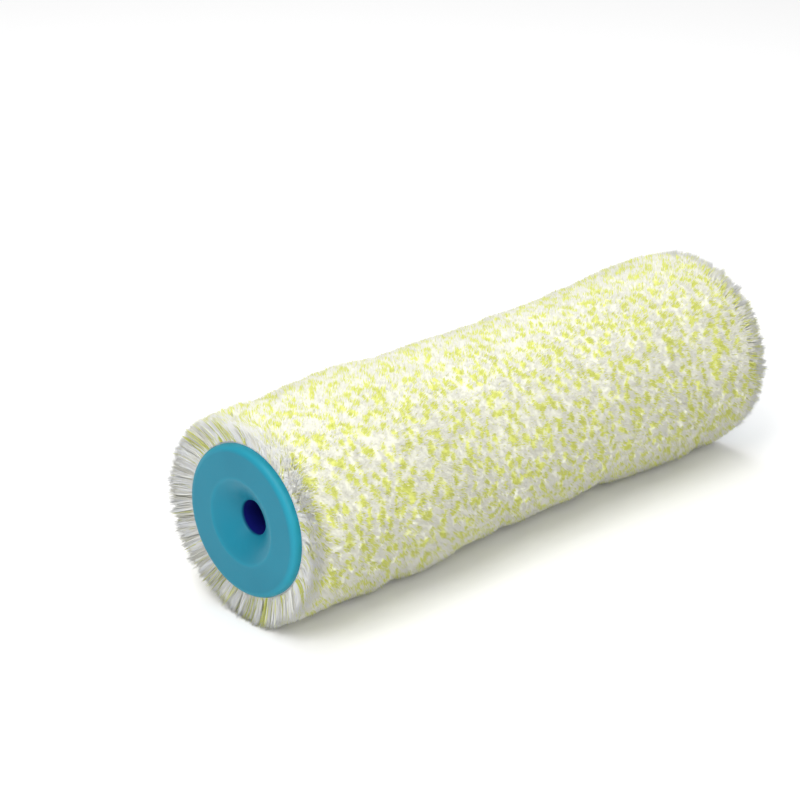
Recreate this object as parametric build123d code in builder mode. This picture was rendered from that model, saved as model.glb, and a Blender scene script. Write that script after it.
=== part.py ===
from build123d import *
import os
from math import radians, sin, sqrt

# A paint roller sleeve (refill) that turns on the 8 mm rod of a roller frame. Millimetres.
# The origin is on the roller's axis, half way along the core. +Y runs along the axis from the
# near cap to the far cap, and +Z is up. The pile is pressed flat where the roller lies, at -Z.

os.makedirs("parts", exist_ok=True)

# Core: two plastic strips, each wound in a helix, with a film of hot melt between them.
core_length = 180.0
core_outer_r = 21.0
ply_thickness = 0.8
ply_film_thickness = 0.2
ply_gap = 0.5  # between neighbouring turns of a strip
winding_pitch = 43.0  # along the axis, for one turn of a strip

# Cover: a film of hot melt, a knitted ground cloth and the cut pile on it.
cover_film_thickness = 0.2
backing_thickness = 0.8
backing_gap = 0.4
pile_outer_r = 30.2
pile_overhang = 3.3  # the end fibres lean out past the core
pile_lip_r = 28.4  # where the leaning fibres reach furthest out
pile_shoulder = 4.0  # length over which the pile's rim rounds off
rest_half_width = 7.9  # half the width of the flat pressed into the pile

# End cap: one moulding, the same at both ends.
flange_r = 21.8
flange_thickness = 2.7
flange_edge_r = 2.0
funnel_r = 12.6
funnel_edge_r = 1.5
funnel_edge_turn = 16  # degrees that the funnel's edge turns down from the face
funnel_depth = 4.5
funnel_wall = 2.2
mouth_edge_r = 0.8
mouth_edge_turn = 48  # degrees that the mouth's edge turns out from the throat
throat_r = 5.0
throat_length = 8.0
bore_r = 4.1
bore_chamfer = 0.65
hub_r = 6.7
hub_length = 25.0  # from the flange's face to the hub's inner end
plug_r = 19.0
plug_wall = 1.6
plug_length = 12.0
plug_chamfer = 0.8
crush_rib_count = 8
crush_rib_width = 1.2
crush_rib_height = 0.18
web_count = 6
web_thickness = 1.4
web_length = 9.0

# Worked out from the sizes above.
half_core = core_length / 2
film_outer_r = core_outer_r - ply_thickness
film_inner_r = film_outer_r - ply_film_thickness
core_inner_r = film_inner_r - ply_thickness
backing_inner_r = core_outer_r + cover_film_thickness
backing_outer_r = backing_inner_r + backing_thickness
flange_face = half_core + flange_thickness
throat_start = funnel_depth + mouth_edge_r * sin(radians(mouth_edge_turn))
throat_end = funnel_depth + throat_length
pile_end = half_core + pile_overhang
rest_height = sqrt(pile_outer_r**2 - rest_half_width**2)

# Sections are drawn with the radius along local X. Local Y runs into the roller from the cap's
# flange, so the far cap is the near one turned half round about Z.
core_section = Plane.XY
near_cap_section = Plane(origin=(0, -flange_face, 0), x_dir=(1, 0, 0), z_dir=(0, 0, 1))
far_cap_section = Plane(origin=(0, flange_face, 0), x_dir=(-1, 0, 0), z_dir=(0, 0, 1))


def square_to_axis(section, depth):
    """A plane across the roller's axis, at this depth along a section's local Y."""
    origin = section.origin + section.y_dir * depth
    return Plane(origin=origin, x_dir=section.x_dir, z_dir=section.y_dir)


def export(builder, label):
    """Names a finished piece and writes its STEP file."""
    builder.part.label = label
    export_step(builder.part, f"parts/{label}.step")


def cap_outline():
    """The section of the cap before it is bored: flange, plug and a solid hub."""
    plug_tip = flange_thickness + plug_length
    rim = Line((flange_r, flange_edge_r), (flange_r, flange_thickness))
    back = Polyline(
        rim @ 1,
        (plug_r, flange_thickness),
        (plug_r, plug_tip - plug_chamfer),
        (plug_r - plug_chamfer, plug_tip),
        (plug_r - plug_wall, plug_tip),
        (plug_r - plug_wall, flange_thickness),
        (funnel_r + funnel_wall, flange_thickness),
        (hub_r, funnel_depth + funnel_wall),
        (hub_r, hub_length),
        (0, hub_length),
        (0, 0),
    )
    face = Line(back @ 1, (flange_r - flange_edge_r, 0))
    RadiusArc(face @ 1, rim @ 0, -flange_edge_r)


def rod_way_outline():
    """The section of what is bored away: the funnel, its throat and the rod's bore."""
    bore = Polyline(
        (0, 0),
        (0, hub_length),
        (bore_r + bore_chamfer, hub_length),
        (bore_r, hub_length - bore_chamfer),
        (bore_r, throat_end + bore_chamfer),
        (throat_r, throat_end),
        (throat_r, throat_start),
    )
    mouth_edge = JernArc(bore @ 1, bore % 1, mouth_edge_r, mouth_edge_turn)
    funnel_edge = JernArc((funnel_r, 0), (-1, 0), funnel_edge_r, -funnel_edge_turn)
    Spline(
        mouth_edge @ 1,
        funnel_edge @ 1,
        tangents=[mouth_edge % 1, -(funnel_edge % 1)],
    )
    Line(funnel_edge @ 0, bore @ 0)


def pile_outline():
    """The pile's section: leaning end fibres, a rounded rim and a straight side."""
    side_end = pile_end - pile_shoulder
    side = Line((pile_outer_r, -side_end), (pile_outer_r, side_end))
    far_rim = Spline(side @ 1, (pile_lip_r, pile_end), tangents=[(0, 1), (-1, 0)])
    near_rim = Spline(side @ 0, (pile_lip_r, -pile_end), tangents=[(0, -1), (-1, 0)])
    Polyline(
        far_rim @ 1,
        (backing_outer_r, half_core),
        (backing_outer_r, -half_core),
        near_rim @ 1,
    )


def wound_strip(label, inner_r, outer_r, gap, offset):
    """A strip wound in a helix: a tube with the gap between its turns cut away."""
    run_out = winding_pitch / 2
    with BuildPart() as strip:
        with BuildSketch(square_to_axis(core_section, -half_core)):
            Circle(outer_r)
            Circle(inner_r, mode=Mode.SUBTRACT)
        extrude(amount=core_length)
        with BuildLine() as seam:
            Helix(
                winding_pitch,
                core_length + 2 * run_out,
                (inner_r + outer_r) / 2,
                center=(0, offset - half_core - run_out, 0),
                direction=(0, 1, 0),
            )
        seam_start = seam.line @ 0
        outward = Vector(seam_start.X, 0, seam_start.Z)
        with BuildSketch(Plane(origin=seam_start, x_dir=outward, z_dir=seam.line % 0)):
            Rectangle(2 * (outer_r - inner_r), gap)
        sweep(path=seam.line, is_frenet=True, mode=Mode.SUBTRACT)
    export(strip, label)


def bond_film(label, inner_r, outer_r):
    """A film of hot melt, which bonds into one tube."""
    with BuildPart() as film:
        with BuildSketch(square_to_axis(core_section, -half_core)):
            Circle(outer_r)
            Circle(inner_r, mode=Mode.SUBTRACT)
        extrude(amount=core_length)
    export(film, label)


def end_cap(label, section):
    """One moulding: a turned body with webs inside its plug and crush ribs outside it."""
    wall_middle_r = plug_r - plug_wall / 2
    rib_span = crush_rib_height + plug_wall / 2
    with BuildPart() as cap:
        with BuildSketch(section):
            with BuildLine():
                cap_outline()
            make_face()
        revolve(axis=Axis.Y)
        with BuildSketch(square_to_axis(section, flange_thickness)):
            with PolarLocations(wall_middle_r / 2, web_count):
                Rectangle(wall_middle_r, web_thickness)
        extrude(amount=web_length)
        with BuildSketch(square_to_axis(section, flange_thickness)):
            with PolarLocations(wall_middle_r + rib_span / 2, crush_rib_count):
                Rectangle(rib_span, crush_rib_width)
        extrude(amount=plug_length - 2 * plug_chamfer)
        with BuildSketch(section):
            with BuildLine():
                rod_way_outline()
            make_face()
        revolve(axis=Axis.Y, mode=Mode.SUBTRACT)
    export(cap, label)


def pile(label):
    """The cut pile as one soft solid, pressed flat underneath."""
    with BuildPart() as sleeve:
        with BuildSketch(core_section):
            with BuildLine():
                pile_outline()
            make_face()
        revolve(axis=Axis.Y)
        split(bisect_by=Plane.XY.offset(-rest_height), keep=Keep.TOP)
    export(sleeve, label)


wound_strip("core_inner_ply", core_inner_r, film_inner_r, ply_gap, offset=0)
bond_film("ply_bond_film", film_inner_r, film_outer_r)
wound_strip("core_outer_ply", film_outer_r, core_outer_r, ply_gap, offset=winding_pitch / 2)
bond_film("cover_bond_film", core_outer_r, backing_inner_r)
wound_strip(
    "cover_backing", backing_inner_r, backing_outer_r, backing_gap, offset=winding_pitch / 3
)
pile("pile_sleeve")
end_cap("end_cap_near", near_cap_section)
end_cap("end_cap_far", far_cap_section)
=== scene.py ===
"""Looks of a paint roller sleeve: white cut pile with lime flecks, and turquoise end caps."""
from math import cos, hypot, pi, radians, sin, tau

import bpy
import numpy as np
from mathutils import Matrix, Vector


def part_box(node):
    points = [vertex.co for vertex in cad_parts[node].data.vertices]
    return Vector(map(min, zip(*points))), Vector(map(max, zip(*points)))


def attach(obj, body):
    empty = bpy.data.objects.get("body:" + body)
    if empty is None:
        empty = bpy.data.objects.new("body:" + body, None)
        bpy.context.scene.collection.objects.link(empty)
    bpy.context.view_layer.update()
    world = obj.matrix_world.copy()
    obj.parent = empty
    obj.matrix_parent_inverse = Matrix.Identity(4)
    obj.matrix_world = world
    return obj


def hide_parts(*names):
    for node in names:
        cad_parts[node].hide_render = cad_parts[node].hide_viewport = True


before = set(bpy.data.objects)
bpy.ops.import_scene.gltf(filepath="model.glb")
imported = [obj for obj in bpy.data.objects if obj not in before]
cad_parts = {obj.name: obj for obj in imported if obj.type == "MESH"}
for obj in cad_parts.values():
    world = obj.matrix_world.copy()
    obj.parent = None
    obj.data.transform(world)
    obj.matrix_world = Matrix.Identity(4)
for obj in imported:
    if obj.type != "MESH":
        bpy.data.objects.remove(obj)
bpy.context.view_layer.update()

MM = 0.001

# ---------------------------------------------------------------- sizes from the frame
pile_low, pile_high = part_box("pile_sleeve")
PILE_R = pile_high.z
REST_Z = pile_low.z
CLOTH_INNER_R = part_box("cover_bond_film")[1].x
CLOTH_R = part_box("cover_backing")[1].x
HALF_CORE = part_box("cover_backing")[1].y
FLANGE_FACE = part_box("end_cap_far")[1].y
FLANGE_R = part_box("end_cap_far")[1].x
FIBRE = PILE_R - CLOTH_R  # length of the pile over the ground cloth

# ---------------------------------------------------------------- the pile's character
SEED = 20260
WINDING_PITCH = 43 * MM  # of the cover strip's seam
CLOTH_GAP = 0.4 * MM  # between its turns
SEAM_AT_TOP = -31 * MM  # where a seam crosses the top of the side that is seen
SEAM_THETA = radians(119)  # the angle round the roller of that place, from +X towards +Z
SEAM_DENT, SEAM_DENT_REACH = 1.1 * MM, 3.2 * MM  # how deep the pile dips over a seam, and how wide
TUFT_ROWS, TUFT_COLUMNS = 120, 121
TUFT_R = 0.97 * MM
CLUMPS = 14  # fibre clumps in a tuft
CLUMP_R = 0.155 * MM  # a clump's thickness from its middle, before each clump's own variation
CLUMP_RINGS = ((0.0, 0.9), (0.7, 1.0))  # share of the length, share of the girth
LONG_CLUMP_RINGS = ((0.0, 0.9), (0.35, 1.05), (0.75, 0.9))
MOST_IN_PIECE = {"side": 19000, "end": 12000}  # clumps in one mesh
FLECK_SPACING = 3.15 * MM
FLECK_AXIAL = (0.66, 1.20)  # half of a fleck's size along the roller, least and most, in mm
FLECK_ROUND = (1.00, 2.10)  # and round it
LEAST_LIME, MOST_LIME = 0.06, 0.97  # share of lime clumps between the flecks and in them
END_ZONE = 8 * MM  # tufts this near the core's end lean out over it
END_LEAN = radians(24)
FRINGE = 11000  # loose clumps at each cut end, gathered into locks
FRINGE_ZONE = 2.6 * MM
LOCKS = 118
LIME_LOCKS = 0.18  # share of the locks with lime in them
END_BOW = 0.55 * MM  # how far the leaning fibres bow back towards the roller's middle
GROUND_SHORT = 1.0 * MM  # the ground stops this far from the core's ends
GROUND_DEPTH = 0.86  # the lumpy ground shows between the clumps, at this share of their length

rng = np.random.default_rng(SEED)


# ---------------------------------------------------------------- small helpers
def lattice_noise(points, size, seed):
    """Smooth noise from -1 to 1 at each 3-D point, with lumps about size across."""
    p = points / size
    cell = np.floor(p).astype(np.int64)
    f = p - cell
    f = f * f * f * (f * (f * 6 - 15) + 10)
    total = np.zeros(len(points))
    for corner in range(8):
        step = np.array([corner & 1, corner >> 1 & 1, corner >> 2 & 1])
        c = (cell + step).astype(np.uint64)
        h = c[:, 0] * np.uint64(73856093) ^ c[:, 1] * np.uint64(19349663)
        h = h ^ c[:, 2] * np.uint64(83492791) ^ np.uint64(seed * 2654435761 % 2**32)
        h = (h ^ (h >> np.uint64(13))) * np.uint64(1274126177) & np.uint64(0xFFFFFFFF)
        h = (h ^ (h >> np.uint64(16))) & np.uint64(0xFFFF)
        weight = np.prod(np.where(step, f, 1 - f), axis=1)
        total += weight * (h.astype(float) / 32767.5 - 1)
    return total


def on_cylinder(y, theta, r):
    return np.stack([r * np.cos(theta), y, r * np.sin(theta)], axis=-1)


def smooth(x, low, high):
    t = np.clip((x - low) / (high - low), 0, 1)
    return t * t * (3 - 2 * t)


def unit(v):
    return v / np.linalg.norm(v, axis=-1, keepdims=True)


def new_mesh(name, vertices, faces, material):
    """A smooth mesh object from arrays, its faces all with the same number of corners."""
    mesh = bpy.data.meshes.new(name)
    mesh.vertices.add(len(vertices))
    mesh.vertices.foreach_set("co", np.ascontiguousarray(vertices, np.float32).ravel())
    corners = faces.shape[1]
    mesh.loops.add(faces.size)
    mesh.loops.foreach_set("vertex_index", faces.ravel().astype(np.int32))
    mesh.polygons.add(len(faces))
    mesh.polygons.foreach_set("loop_start", np.arange(len(faces), dtype=np.int32) * corners)
    mesh.polygons.foreach_set("use_smooth", np.ones(len(faces), bool))
    mesh.update()
    mesh.materials.append(material)
    obj = bpy.data.objects.new(name, mesh)
    bpy.context.scene.collection.objects.link(obj)
    return obj


def give_values(obj, name, values):
    """One number for each vertex, which a material reads as an attribute."""
    attribute = obj.data.attributes.new(name, "FLOAT", "POINT")
    attribute.data.foreach_set("value", np.ascontiguousarray(values, np.float32))


def give_map(obj, places):
    """The piece's texture map, as a place in the unit square for each face corner."""
    layer = obj.data.uv_layers.new(name="OFBake")
    layer.uv.foreach_set("vector", np.ascontiguousarray(places, np.float32).ravel())


def tube_faces(rows, columns):
    """Quads between rows of vertices, closed round each row."""
    grid = np.arange(rows * columns).reshape(rows, columns)
    right = np.roll(grid, -1, axis=1)
    quads = np.stack([grid[:-1], grid[1:], right[1:], right[:-1]], axis=-1)
    return quads.reshape(-1, 4)


# ---------------------------------------------------------------- camera, lights and floor
AZIMUTH, ELEVATION = radians(46.26), radians(23.21)
CAMERA_DISTANCE = 0.6882
LENS = 114.8
AIM_FROM_NEAR_END = Vector((0.0191, 0.0384, 0.0297))
WORLD_STRENGTH = 0.58
LIGHTS = (  # name, place in metres, width in metres, watts
    ("key", (-0.25, 0.10, 0.90), 0.8, 4.0),
    ("front", (0.20, -0.65, 0.90), 0.6, 5.0),
    ("side", (0.80, -0.45, 0.55), 0.5, 3.7),
)


def make_camera():
    level = cos(ELEVATION)
    back = Vector((sin(AZIMUTH) * level, -cos(AZIMUTH) * level, sin(ELEVATION)))
    data = bpy.data.cameras.new("camera")
    data.lens = LENS
    data.sensor_width = 36
    data.clip_start, data.clip_end = 0.01, 100
    camera = bpy.data.objects.new("camera", data)
    aim = Vector((0, -HALF_CORE, 0)) + AIM_FROM_NEAR_END
    camera.location = aim + back * CAMERA_DISTANCE
    camera.rotation_mode = "QUATERNION"
    camera.rotation_quaternion = (-back).to_track_quat("-Z", "Y")
    bpy.context.scene.collection.objects.link(camera)
    bpy.context.scene.camera = camera


def area_light(name, place, size, watts):
    """A round soft light aimed at the middle of the roller."""
    data = bpy.data.lights.new(name, "AREA")
    data.shape = "DISK"
    data.size = size
    data.energy = watts
    lamp = bpy.data.objects.new(name, data)
    lamp.location = place
    lamp.rotation_mode = "QUATERNION"
    lamp.rotation_quaternion = (-Vector(place)).to_track_quat("-Z", "Y")
    bpy.context.scene.collection.objects.link(lamp)


def make_world(strength):
    world = bpy.data.worlds.new("studio")
    world.use_nodes = True
    background = world.node_tree.nodes["Background"]
    background.inputs["Color"].default_value = (1, 1, 1, 1)
    background.inputs["Strength"].default_value = strength
    bpy.context.scene.world = world


def make_floor():
    half = 20.0
    corners = np.array([(-half, -half), (half, -half), (half, half), (-half, half)])
    corners = np.column_stack([corners, np.full(4, REST_Z)])
    material = bpy.data.materials.new("studio_floor")
    material.use_nodes = True
    shader = material.node_tree.nodes["Principled BSDF"]
    shader.inputs["Base Color"].default_value = (0.94, 0.94, 0.94, 1)
    shader.inputs["Roughness"].default_value = 0.9
    shader.inputs["Specular IOR Level"].default_value = 0.1
    new_mesh("floor", corners, np.array([[0, 1, 2, 3]]), material)


# ---------------------------------------------------------------- materials
class Nodes:
    """Short-hand for building one material's node tree."""

    def __init__(self, name):
        self.material = bpy.data.materials.new(name)
        self.material.use_nodes = True
        self.tree = self.material.node_tree
        self.shader = self.tree.nodes["Principled BSDF"]

    def add(self, kind, inputs=None, **settings):
        node = self.tree.nodes.new(kind)
        for key, value in settings.items():
            setattr(node, key, value)
        for key, value in (inputs or {}).items():
            self.feed(node, key, value)
        return node

    def feed(self, node, key, value):
        socket = node.inputs[key]
        if isinstance(value, bpy.types.NodeSocket):
            self.tree.links.new(value, socket)
        elif isinstance(value, tuple) and len(value) < len(socket.default_value):
            socket.default_value = (*value, 1)
        else:
            socket.default_value = value

    def set(self, **inputs):
        for key, value in inputs.items():
            self.feed(self.shader, key.replace("_", " "), value)

    def place(self):
        return self.add("ShaderNodeTexCoord").outputs["Object"]

    def noise(self, scale, detail=2.0, roughness=0.5):
        inputs = {"Vector": self.place(), "Scale": scale, "Detail": detail}
        return self.add("ShaderNodeTexNoise", {**inputs, "Roughness": roughness}).outputs["Fac"]

    def attribute(self, name):
        return self.add("ShaderNodeAttribute", attribute_name=name).outputs["Fac"]

    def maths(self, operation, first, second=0.0):
        node = self.add("ShaderNodeMath", {0: first, 1: second}, operation=operation)
        return node.outputs[0]

    def ramp(self, factor, stops):
        node = self.add("ShaderNodeValToRGB", {"Fac": factor})
        elements = node.color_ramp.elements
        while len(elements) < len(stops):
            elements.new(0.5)
        for element, (place, colour) in zip(elements, stops):
            element.position = place
            element.color = (*colour, 1)
        return node.outputs["Color"]

    def mix(self, factor, first, second):
        node = self.add("ShaderNodeMix", data_type="RGBA")
        for key, value in ((0, factor), (6, first), (7, second)):
            self.feed(node, key, value)
        return node.outputs[2]

    def spread(self, value, low, high, start=0.0, end=1.0):
        inputs = {"Value": value, "From Min": start, "From Max": end, "To Min": low, "To Max": high}
        return self.add("ShaderNodeMapRange", inputs).outputs["Result"]

    def bump(self, height, strength, distance):
        inputs = {"Height": height, "Strength": strength, "Distance": distance}
        return self.add("ShaderNodeBump", inputs).outputs["Normal"]


WHITES = [
    (0.00, (0.780, 0.775, 0.680)),
    (0.35, (0.810, 0.805, 0.715)),
    (0.70, (0.830, 0.828, 0.765)),
    # the coolest, bluest stop is reached only by the fringe's clumps: painted bluish tint of the shade
    # at the cut ends
    (1.00, (0.830, 0.845, 0.865)),
]
LIMES = [(0.0, (0.670, 0.710, 0.145)), (0.5, (0.735, 0.765, 0.220)), (1.0, (0.795, 0.815, 0.340))]
TURQUOISES = [(0.35, (0.004, 0.176, 0.262)), (0.65, (0.006, 0.196, 0.286))]
CAP_PAINTED_HIGHLIGHT = (0.012, 0.265, 0.370)  # painted highlight: a paler turquoise laid on the flange's rounded rim and round the funnel's edge
# painted shade: the dark navy laid on the bore's wall below the funnel's mouth
BORE_PAINTED_SHADE = (0.0002, 0.004, 0.150)
FUNNEL_R = 12.3 * MM  # of the funnel's edge
MOUTH_R, MOUTH_DEPTH = 5.0 * MM, 4.6 * MM  # where the funnel turns down into the rod's bore


def fibre_material(name, stops):
    """Cut fibres: each clump has a shade of its own, and all are dull with a soft sheen."""
    n = Nodes(name)
    drift = n.spread(n.noise(260, 3, 0.6), -0.35, 0.35)
    n.set(Base_Color=n.ramp(n.maths("ADD", n.attribute("shade"), drift), stops))
    n.set(Roughness=0.85, Specular_IOR_Level=0.2, Sheen_Weight=0.15, Sheen_Roughness=0.5)
    return n.material


def ground_material():
    """The lumpy ground between the clumps, in the tufts' own colours."""
    n = Nodes("pile_ground")
    shade = n.noise(900, 3, 0.6)
    colour = n.mix(n.attribute("lime"), n.ramp(shade, WHITES), n.ramp(shade, LIMES))
    n.set(Base_Color=colour, Roughness=0.9, Specular_IOR_Level=0.2)
    n.set(Normal=n.bump(n.noise(2200, 3, 0.7), 0.7, 0.3 * MM))
    return n.material


def cap_material():
    """Satin turquoise polypropylene with slight flow marks, painted highlights on the flange's rounded
    edge and round the funnel's mouth edge, and painted shade, a dark navy, down in the rod's bore.
    """
    n = Nodes("cap_plastic")
    flow_and_highlight = n.ramp(n.noise(45, 3, 0.5), TURQUOISES)
    place = n.add("ShaderNodeSeparateXYZ", {"Vector": n.place()}).outputs
    from_axis = n.maths("SQRT", n.maths("ADD", n.maths("MULTIPLY", place["X"], place["X"]),
                                        n.maths("MULTIPLY", place["Z"], place["Z"])))
    # painted highlight: paler towards the flange's rounded rim and in a thin ring at the funnel's edge
    rim_highlight = n.spread(from_axis, 0.0, 1.0, FLANGE_R - 2.1 * MM, FLANGE_R - 0.7 * MM)
    off_ring = n.maths("ABSOLUTE", n.maths("SUBTRACT", from_axis, FUNNEL_R))
    ring = n.spread(off_ring, 0.30, 0.0, 0.1 * MM, 0.9 * MM)
    flow_and_highlight = n.mix(n.maths("MAXIMUM", rim_highlight, ring), flow_and_highlight, CAP_PAINTED_HIGHLIGHT)
    # painted shade: the bore's wall turns dark navy, and rougher, below the funnel's mouth
    inside = n.spread(from_axis, 1.0, 0.0, MOUTH_R * 1.01, MOUTH_R * 1.08)
    depth = n.maths("SUBTRACT", FLANGE_FACE, n.maths("ABSOLUTE", place["Y"]))
    down = n.spread(depth, 0.0, 1.0, MOUTH_DEPTH, MOUTH_DEPTH + 1.0 * MM)
    painted_bore_shade = n.maths("MULTIPLY", inside, down)
    n.set(Base_Color=n.mix(painted_bore_shade, flow_and_highlight, BORE_PAINTED_SHADE), Specular_IOR_Level=0.25)
    n.set(Roughness=n.maths("ADD", n.spread(n.noise(700, 3, 0.6), 0.38, 0.48), n.spread(painted_bore_shade, 0.0, 0.5)))
    n.set(Normal=n.bump(n.noise(2600, 2, 0.5), 0.05, 0.2 * MM))
    return n.material


def cloth_material():
    """Plain knit: rows of loops along the strip, read from its own two directions."""
    n = Nodes("knitted_ground")
    loops = n.maths("SINE", n.maths("MULTIPLY", n.attribute("across"), tau / (0.9 * MM)))
    courses = n.maths("SINE", n.maths("MULTIPLY", n.attribute("along"), tau / (0.7 * MM)))
    knit = n.maths("MULTIPLY", loops, courses)
    # painted shade: darker where the knit's bump dips between the loops
    stops = [(0.2, (0.62, 0.63, 0.64)), (0.8, (0.82, 0.83, 0.83))]
    colour = n.ramp(n.spread(knit, 0.0, 1.0, -1.0, 1.0), stops)
    n.set(Base_Color=colour, Roughness=0.9, Specular_IOR_Level=0.2)
    n.set(Normal=n.bump(knit, 0.8, 0.2 * MM))
    return n.material


def plain_material(name, low, high, scale, roughness):
    """Core plastic or hot melt: two close shades and a fine bump."""
    n = Nodes(name)
    n.set(Base_Color=n.ramp(n.noise(scale, 3), [(0.35, low), (0.65, high)]), Roughness=roughness)
    n.set(Normal=n.bump(n.noise(scale * 6, 2), 0.3, 0.2 * MM))
    return n.material


# ---------------------------------------------------------------- the pile's shape
# place along the roller and height over the even pile, in mm
SWELL = [(-93, 0.2), (-75, 0.0), (-46, 1.2), (-19, -0.7), (26, -0.8), (57, 0.4), (79, 1.3), (93, 0.9)]


def swell(y):
    """Slow change of the pile's height along the roller, smoothly through the listed heights."""
    places = np.array([place for place, _ in SWELL]) * MM
    heights = np.array([height for _, height in SWELL]) * MM
    at = np.clip(np.searchsorted(places, y) - 1, 0, len(places) - 2)
    t = smooth(y, places[at], places[at + 1])
    return heights[at] * (1 - t) + heights[at + 1] * t


def from_seam(y, theta):
    """Distance along the roller from the nearest turn of the cover strip's seam."""
    turn = (y - SEAM_AT_TOP) / WINDING_PITCH + (theta - SEAM_THETA) / tau
    return (turn - np.round(turn)) * WINDING_PITCH


def rise(y, theta):
    """How far the tips stand above the even pile: swell, the seam's valley and soft lumps."""
    valley = -SEAM_DENT * np.exp(-((from_seam(y, theta) / SEAM_DENT_REACH) ** 2))
    at = on_cylinder(y, theta, PILE_R)
    lumps = 0.45 * MM * lattice_noise(at, 13 * MM, 1) + 0.30 * MM * lattice_noise(at, 4.5 * MM, 2)
    return swell(y) + valley + lumps


def fibre(y, theta):
    """Root-to-tip vector of the pile at a root, as its radial and axial parts."""
    past = smooth(np.abs(y), HALF_CORE - END_ZONE, HALF_CORE)
    lean = END_LEAN * past**1.4
    length = FIBRE + rise(y, theta)
    return length * np.cos(lean), length * np.sin(lean) * np.sign(y)


def press_flat(points):
    """Lays whatever would be under the resting plane on it, and spreads it sideways."""
    under = np.maximum(REST_Z - points[:, 2], 0)
    points[:, 0] += np.sign(points[:, 0]) * under * 0.5
    points[:, 2] = np.maximum(points[:, 2], REST_Z)
    return points


def scatter_flecks():
    """Flecks of lime stitches: one in most cells of a grid, each with its own place and shape."""
    rows = int(2 * HALF_CORE / FLECK_SPACING) + 4
    columns = int(tau * PILE_R / FLECK_SPACING)
    shape = (rows, columns)
    grid_y, grid_t = np.meshgrid(np.arange(rows) - rows / 2, np.arange(columns), indexing="ij")
    return {
        "y": (grid_y + rng.uniform(0, 1, shape)) * FLECK_SPACING,
        "theta": (grid_t + rng.uniform(0, 1, shape)) / columns * tau,
        "axial": rng.uniform(*FLECK_AXIAL, shape) * MM,
        "round": rng.uniform(*FLECK_ROUND, shape) * MM,
        "tilt": np.tan(rng.normal(0, 0.30, shape)),
        "weight": rng.choice([0.0, 0.65, 1.0], shape, p=[0.12, 0.28, 0.60]),
    }


def lime_chance(y, theta, flecks):
    """How likely a clump with its tip here is lime: high in a fleck, low between the flecks."""
    rows, columns = flecks["y"].shape
    row = np.floor(y / FLECK_SPACING + rows / 2).astype(int)
    column = np.floor(theta % tau / tau * columns).astype(int)
    most = np.zeros(len(y))
    for row_step in (-1, 0, 1):
        for column_step in (-1, 0, 1):
            at = (np.clip(row + row_step, 0, rows - 1), (column + column_step) % columns)
            off_y = y - flecks["y"][at]
            off_t = ((theta - flecks["theta"][at] + pi) % tau - pi) * PILE_R
            off_y = off_y - off_t * flecks["tilt"][at]
            off = np.hypot(off_y / flecks["axial"][at], off_t / flecks["round"][at])
            most = np.maximum(most, flecks["weight"][at] * (1 - smooth(off, 0.65, 1.35)))
    return LEAST_LIME + (MOST_LIME - LEAST_LIME) * most


def make_ground(flecks, material):
    """One closed sleeve from the ground cloth out to the level between the clumps."""
    along, around = 296, 328
    theta = np.arange(around) / around * tau
    end = HALF_CORE - GROUND_SHORT
    y_grid, theta_grid = np.meshgrid(end * np.linspace(-1, 1, along), theta, indexing="ij")
    y, theta_all = y_grid.ravel(), theta_grid.ravel()
    radial, axial = fibre(y, theta_all)
    at = on_cylinder(y, theta_all, PILE_R)
    depth = GROUND_DEPTH + 0.05 * lattice_noise(at, 1.6 * MM, 9) + 0.03 * lattice_noise(at, MM, 10)
    depth -= (GROUND_DEPTH - 0.12) * smooth(np.abs(y), end - 4 * MM, end)
    shell = on_cylinder(y + depth * axial, theta_all, CLOTH_R + depth * radial)
    root_r = CLOTH_R + 0.05 * MM
    inside = [on_cylinder(np.full(around, place), theta, root_r) for place in (end, -end)]
    vertices = press_flat(np.concatenate([shell, *inside]))
    faces = tube_faces(along + 3, around) % len(vertices)  # the last row is the first again
    obj = new_mesh("pile_ground", vertices, faces, material)
    give_values(obj, "lime", np.append(lime_chance(y, theta_all, flecks), np.zeros(2 * around)))
    return obj


def clump_faces(rings):
    """Triangles of one clump, and where their corners lie in its cell of the texture map."""
    faces, places = [(2, 1, 0)], [((0, 0), (0, 0), (0, 0))]
    for ring in range(len(rings) - 1):
        low, high = rings[ring][0], rings[ring + 1][0]
        for k in range(3):
            a, b = 3 * ring + k, 3 * ring + (k + 1) % 3
            left, right = k / 3, (k + 1) / 3
            faces += [(a, b, b + 3), (a, b + 3, a + 3)]
            places += [((left, low), (right, low), (right, high))]
            places += [((left, low), (right, high), (left, high))]
    last, low = 3 * len(rings) - 3, rings[-1][0]
    for k in range(3):
        faces.append((last + k, last + (k + 1) % 3, last + 3))
        places.append(((k / 3, low), ((k + 1) / 3, low), ((k + 0.5) / 3, 1)))
    return np.array(faces), np.array(places)


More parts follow.
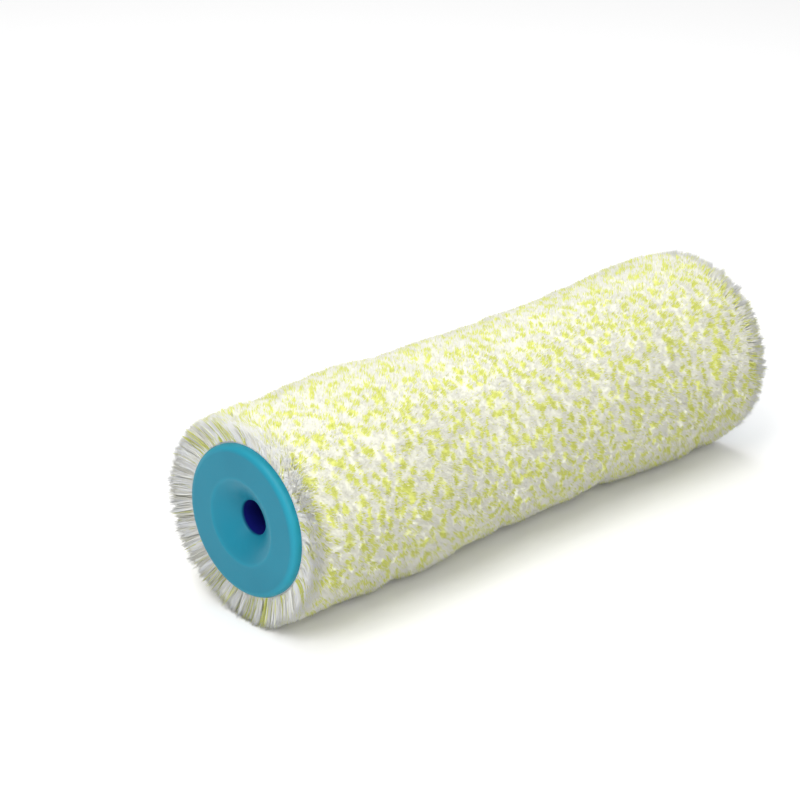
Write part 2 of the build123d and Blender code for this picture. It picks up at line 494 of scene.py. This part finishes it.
def clump_mesh(name, clumps, rings, material):
    """Closed three-sided clumps of fibre, each with its own bend, shade and cell in the map."""
    root, tip, width = clumps["root"], clumps["tip"], clumps["width"][:, None]
    count = len(root)
    axis = unit(tip - root)
    side = unit(np.cross(axis, clumps["twist"]))
    other = np.cross(axis, side)
    points, normals = [], []
    for share, girth in rings:
        centre = root + (tip - root) * share + clumps["bend"] * (4 * share * (1 - share))
        for corner in range(3):
            away = side * cos(tau * corner / 3) + other * sin(tau * corner / 3)
            points.append(centre + away * width * girth)
            normals.append(unit(away + clumps["facing"]))  # soft, as a brush of finer fibres is
    points.append(tip)
    normals.append(axis)
    per = len(points)
    faces, places = clump_faces(rings)
    all_faces = (np.arange(count)[:, None, None] * per + faces[None]).reshape(-1, 3)
    vertices = press_flat(np.stack(points, axis=1).reshape(-1, 3))
    obj = new_mesh(name, vertices, all_faces, material)
    give_values(obj, "shade", np.repeat(clumps["shade"], per))
    cells = int(np.ceil(np.sqrt(count)))
    cell = np.stack([np.arange(count) % cells, np.arange(count) // cells], axis=-1)
    give_map(obj, (cell[:, None, None, :] + 0.12 + 0.76 * places[None]) / cells)
    obj.data.normals_split_custom_set_from_vertices(np.stack(normals, axis=1).reshape(-1, 3))
    return obj


def make_clumps(flecks):
    """Every clump's roots, tips and so on, which are lime, and which lean out at an end."""
    rows, columns = np.meshgrid(np.arange(TUFT_ROWS), np.arange(TUFT_COLUMNS), indexing="ij")
    out_of_place = rng.uniform(-0.4, 0.4, (2, rows.size))
    tuft_y = ((rows.ravel() + 0.5 + out_of_place[0]) / TUFT_ROWS * 2 - 1) * HALF_CORE
    tuft_theta = (columns.ravel() + 0.5 * (rows.ravel() % 2) + out_of_place[1]) / TUFT_COLUMNS * tau
    tuft_y, tuft_theta = np.repeat(tuft_y, CLUMPS), np.repeat(tuft_theta, CLUMPS)
    count = len(tuft_y)
    away = TUFT_R * np.sqrt(rng.uniform(0, 1, count))
    turn = rng.uniform(0, tau, count)
    y = np.clip(tuft_y + away * np.cos(turn), -HALF_CORE, HALF_CORE)
    theta = tuft_theta + away * np.sin(turn) / PILE_R
    radial, axial = fibre(y, theta)
    at = on_cylinder(y, theta, PILE_R)
    flow_y = 0.05 * lattice_noise(at, 9 * MM, 21) + 0.08 * lattice_noise(at, 2.6 * MM, 22)
    flow_t = 0.05 * lattice_noise(at, 9 * MM, 23) + 0.08 * lattice_noise(at, 2.6 * MM, 24)
    stray_y, stray_t = rng.normal(0, 0.055, (2, count))
    gather = 0.30  # the tips of a tuft draw together
    tip_y = (flow_y + stray_y) * FIBRE + gather * (tuft_y - y)
    tip_theta = (flow_t + stray_t) * FIBRE / PILE_R + gather * (tuft_theta - theta)
    dome = 0.35 * MM * (0.5 - (away / TUFT_R) ** 2)
    reach = 1 + dome / FIBRE + rng.normal(0, 0.025, count)
    past = smooth(np.abs(y), HALF_CORE - END_ZONE, HALF_CORE)
    start = 0.03 + 0.58 * (1 - smooth(past, 0.5, 0.9))
    bend = rng.normal(0, 0.06 * MM, (count, 3)) * (1 + 3 * past[:, None])
    bend[:, 1] -= np.sign(y) * END_BOW * smooth(past, 0.4, 1.0)
    root = on_cylinder(y + start * axial, theta, CLOTH_R + start * radial)
    tip = on_cylinder(y + axial * reach + tip_y, theta + tip_theta, CLOTH_R + radial * reach)
    clumps = {
        "root": root,
        "tip": tip,
        "facing": 1.2 * unit(tip - root),
        "bend": bend,
        "twist": rng.normal(size=(count, 3)),
        "width": CLUMP_R * rng.uniform(0.75, 1.25, count),
        "shade": rng.uniform(0.05, 0.65, count),
        "theta": theta % tau,
    }
    leant = y + axial * reach + tip_y
    lime = rng.uniform(0, 1, count) < lime_chance(leant, theta + tip_theta, flecks)
    return clumps, lime, past > 0.25


def make_fringe():
    """More clumps at both ends, in soft locks, whole from the cloth's cut edge to their tips."""
    count = 2 * FRINGE
    near = np.arange(count) < FRINGE
    depth = FRINGE_ZONE * rng.uniform(0, 1, count) ** 1.4
    y = np.where(near, -1, 1) * (HALF_CORE - depth)
    theta = rng.uniform(0, tau, count)
    row = np.where(near, 0, 2) + (depth > 0.3 * FRINGE_ZONE)
    lock = (np.floor(theta / tau * LOCKS + 0.5 * (row % 2)).astype(int) % LOCKS, row)
    middle = (lock[0] + 0.5 - 0.5 * (row % 2) + rng.uniform(-0.3, 0.3, (LOCKS, 4))[lock]) / LOCKS * tau
    to_middle = (middle - theta + pi) % tau - pi
    radial, axial = fibre(y, theta)
    reach = 0.98 + rng.normal(0, 0.032, (LOCKS, 4))[lock] + rng.normal(0, 0.04, count)
    axial = axial * (1 + rng.normal(0, 0.14, (LOCKS, 4))[lock] + rng.normal(0, 0.14, count))
    tip_theta = 0.22 * to_middle + rng.normal(0, 0.018, (LOCKS, 4))[lock] + rng.normal(0, 0.014, count)
    curl = rng.normal(0, 0.25 * MM, (LOCKS, 4, 3))[lock]
    curl[:, 1] -= np.sign(y) * END_BOW
    root = on_cylinder(y, theta, np.full(count, CLOTH_R + 0.1 * MM))
    tip = on_cylinder(y + axial * reach, theta + tip_theta, CLOTH_R + radial * reach)
    outward = np.stack([np.zeros(count), np.sign(y), np.zeros(count)], axis=-1)
    clumps = {
        "root": root,
        "tip": tip,
        "facing": 0.7 * unit(tip - root) + 1.1 * outward,
        "bend": curl + rng.normal(0, 0.16 * MM, (count, 3)),
        "twist": rng.normal(size=(count, 3)),
        "width": 0.66 * CLUMP_R * rng.uniform(0.7, 1.3, count),
        # painted shade tint: with these values the fringe's white clumps take the cooler, bluer end of
        # the whites
        "shade": rng.uniform(0.70, 1.0, count),
        "theta": theta,
    }
    lime_lock = rng.uniform(0, 1, (LOCKS, 4))[lock] < LIME_LOCKS
    lime = rng.uniform(0, 1, count) < np.where(lime_lock, 0.45, 0.02)
    return clumps, lime


def make_pile():
    """The ground sleeve, and the clumps on it in pieces that run the roller's length."""
    flecks = scatter_flecks()
    pieces = [make_ground(flecks, ground_material())]
    clumps, lime, at_end = make_clumps(flecks)
    fringe, fringe_lime = make_fringe()
    clumps = {key: np.concatenate([values, fringe[key]]) for key, values in clumps.items()}
    lime = np.concatenate([lime, fringe_lime])
    at_end = np.concatenate([at_end, np.ones(2 * FRINGE, bool)])
    for shade, stops in (("white", WHITES), ("lime", LIMES)):
        material = fibre_material(f"pile_{shade}", stops)
        for zone, rings in (("side", CLUMP_RINGS), ("end", LONG_CLUMP_RINGS)):
            chosen = np.flatnonzero((lime == (shade == "lime")) & (at_end == (zone == "end")))
            chosen = chosen[np.argsort(clumps["theta"][chosen], kind="stable")]
            groups = np.array_split(chosen, -(-len(chosen) // MOST_IN_PIECE[zone]))
            for number, group in enumerate(groups, 1):
                some = {key: values[group] for key, values in clumps.items()}
                piece = clump_mesh(f"pile_{shade}_{zone}_{number}", some, rings, material)
                pieces.append(piece)
    for piece in pieces:
        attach(piece, "root")
        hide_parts("pile_sleeve")
    return pieces


# ---------------------------------------------------------------- the ground cloth
def make_cloth(pile_pieces):
    """The knitted strip that the pile grows from, wound in a helix with its edges butted."""
    columns, per_turn, clear = 14, 120, 0.03 * MM
    half = (WINDING_PITCH - CLOTH_GAP) / 2
    furthest = HALF_CORE + half - 0.2 * MM  # where the strip's cut end comes to a point
    middle = np.linspace(-furthest, furthest, int(2 * furthest / WINDING_PITCH * per_turn))
    low = np.maximum(middle - half, -HALF_CORE)
    high = np.minimum(middle + half, HALF_CORE)
    share = np.linspace(0, 1, columns)
    y = low[:, None] * (1 - share) + high[:, None] * share
    seam_turn = (middle - SEAM_AT_TOP) / WINDING_PITCH + 0.5
    theta = np.broadcast_to((SEAM_THETA - tau * seam_turn)[:, None], y.shape)
    outer = on_cylinder(y, theta, CLOTH_R - clear)
    inner = on_cylinder(y, theta, CLOTH_INNER_R + clear)[:, ::-1]
    vertices = np.concatenate([outer, inner], axis=1).reshape(-1, 3)
    rows = len(middle)
    faces = tube_faces(rows, 2 * columns)
    first = np.array([(k, k + 1, 2 * columns - 2 - k, 2 * columns - 1 - k) for k in range(columns - 1)])
    last = first[:, ::-1] + (rows - 1) * 2 * columns
    cloth = new_mesh("ground_cloth", vertices, np.concatenate([faces, first, last]), cloth_material())
    middle_r = (CLOTH_INNER_R + CLOTH_R) / 2
    turn_length = hypot(tau * middle_r, WINDING_PITCH)
    slope = WINDING_PITCH / turn_length
    across = (y - middle[:, None]) * tau * middle_r / turn_length
    along = middle[:, None] / slope + (y - middle[:, None]) * slope
    give_values(cloth, "across", np.concatenate([across, across[:, ::-1]], axis=1).ravel())
    give_values(cloth, "along", np.concatenate([along, along[:, ::-1]], axis=1).ravel())
    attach(cloth, "root")
    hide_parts("cover_backing")


# ---------------------------------------------------------------- the scene
def dress(node, material):
    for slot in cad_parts[node].material_slots:
        slot.material = material


make_camera()
make_world(WORLD_STRENGTH)
make_floor()
for light in LIGHTS:
    area_light(*light)
make_cloth(make_pile())
caps = cap_material()
dress("end_cap_near", caps)
dress("end_cap_far", caps)
core = plain_material("core_strip", (0.74, 0.74, 0.70), (0.80, 0.80, 0.76), 60, 0.45)
film = plain_material("hot_melt", (0.80, 0.76, 0.62), (0.86, 0.83, 0.72), 90, 0.35)
dress("core_inner_ply", core)
dress("core_outer_ply", core)
dress("ply_bond_film", film)
dress("cover_bond_film", film)
bpy.context.scene.view_settings.view_transform = "Standard"
